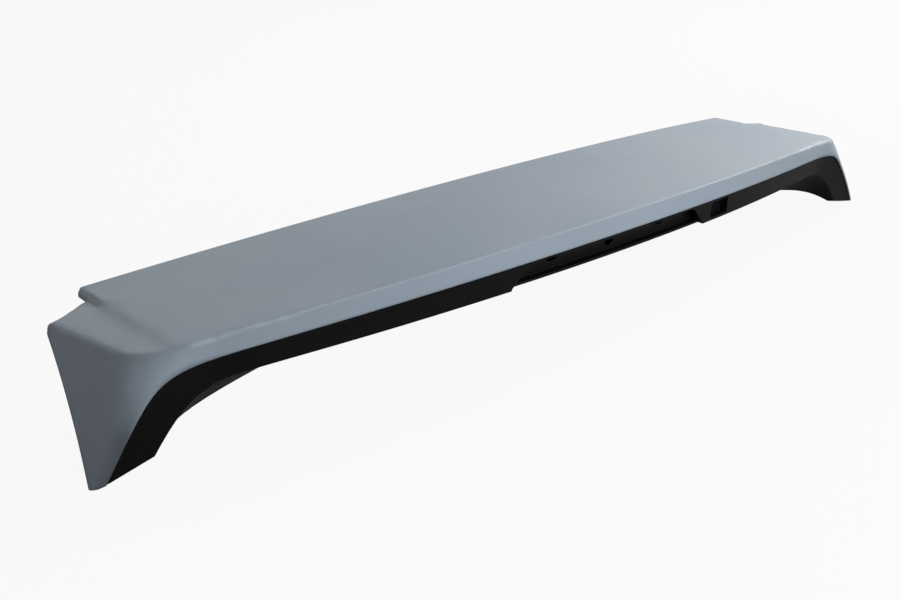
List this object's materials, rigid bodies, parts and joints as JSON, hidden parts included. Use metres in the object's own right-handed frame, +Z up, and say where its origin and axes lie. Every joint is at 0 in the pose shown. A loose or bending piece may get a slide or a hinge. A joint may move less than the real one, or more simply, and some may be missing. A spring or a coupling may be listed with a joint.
{
  "type": "car rear spoiler",
  "caption": "Wide tailgate roof spoiler: crowned primer-grey upper shell with tapered side legs, black lower panel with an empty stop-lamp recess, and studs underneath to bolt it on.",
  "frame": {"origin": "middle of the four studs, on the plane where their towers seat on the tailgate", "axes": "+X to the car's right along the spoiler, +Y to the car's front, +Z up; the rear face is upright and faces -Y"},
  "size_m": [1.3042, 0.3002, 0.1581],
  "materials": {
    "primer": "satin grey primer on moulded plastic",
    "black_plastic": "smooth black moulded plastic",
    "zinc_steel": "zinc-plated steel"
  },
  "bodies": {
    "root": {"upper_shell": "primer", "lower_panel": "black_plastic", "mounting_studs": "zinc_steel"}
  },
  "joints": []
}
